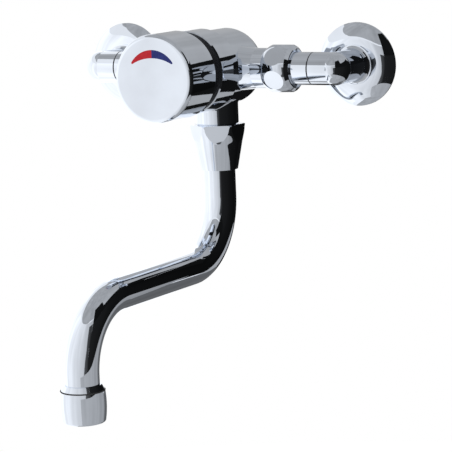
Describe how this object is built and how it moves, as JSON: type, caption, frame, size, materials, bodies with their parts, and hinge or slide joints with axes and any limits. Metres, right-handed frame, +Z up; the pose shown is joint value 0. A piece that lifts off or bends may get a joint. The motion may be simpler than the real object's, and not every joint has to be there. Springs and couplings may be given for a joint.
{
  "type": "wall-mounted basin mixer tap",
  "caption": "Wall-mounted basin mixer with a push-and-turn knob, two wall elbows with cover flanges and a swivelling S-shaped spout.",
  "frame": {"origin": "on the wall plane, midway between the two inlets at the height of their axis", "axes": "+X to the right as seen from the front, +Y into the wall, +Z up"},
  "size_m": [0.1964, 0.2035, 0.1925],
  "materials": {
    "chrome": "polished chromium plate on brass",
    "brass": "turned",
    "rubber": "matt black",
    "white_plastic": "moulded",
    "grey_plastic": "moulded",
    "dark_plastic": "moulded, satin",
    "ceramic": "lapped",
    "steel": "bright",
    "hot_red": "inlaid, smooth",
    "cold_blue": "inlaid, smooth"
  },
  "bodies": {
    "fixed_frame": {"wall_flange_left": "chrome", "wall_flange_right": "chrome", "elbow_left": "chrome", "elbow_right": "chrome", "inlet_sleeve_left": "chrome", "inlet_sleeve_right": "chrome", "union_nut_left": "chrome", "union_nut_right": "chrome", "body": "chrome", "spout_nut": "chrome", "gland_bush": "brass", "retaining_ring": "brass", "filter_washer_left": "rubber", "filter_washer_right": "rubber", "port_gasket": "rubber", "housing_seal": "rubber", "gland_seal": "rubber", "check_valve_left": "white_plastic", "check_valve_right": "white_plastic", "upper_slide_ring": "white_plastic", "lower_slide_ring": "white_plastic", "thrust_ring": "white_plastic", "cartridge_base": "grey_plastic", "cartridge_housing": "grey_plastic", "guide_sleeve": "dark_plastic", "fixed_disc": "ceramic", "return_spring": "steel"},
    "turning_carrier": {"mixing_disc": "ceramic", "drive_carrier": "grey_plastic", "carrier_seal": "rubber"},
    "plunger": {"stem": "brass", "valve_washer": "rubber", "piston": "brass", "piston_nut": "brass", "timing_cup": "rubber", "cup_spacer": "brass", "cup_clip": "steel", "knob": "chrome", "knob_screw": "steel", "hot_mark": "hot_red", "cold_mark": "cold_blue"},
    "spout": {"spout_collar": "brass", "spout_seals": "rubber", "spout_tube": "chrome", "nozzle_ferrule": "chrome", "nozzle_washer": "rubber", "flow_straightener": "white_plastic", "nozzle": "chrome"}
  },
  "joints": [
    {"name": "temperature_turn", "type": "hinge", "parent": "fixed_frame", "child": "turning_carrier", "pos_m": [0, -0.05, 0], "axis": [0, -1, 0], "range_deg": [-60, 60]},
    {"name": "push", "type": "slide", "parent": "turning_carrier", "child": "plunger", "axis": [0, 1, 0], "range_m": [0, 0.005], "stiffness_N_per_m": 800, "springref_m": -0.01, "deforming": ["return_spring"]},
    {"name": "spout_swivel", "type": "hinge", "parent": "fixed_frame", "child": "spout", "pos_m": [0, -0.0285, -0.045], "axis": [0, 0, 1], "range_deg": [-90, 90]}
  ]
}
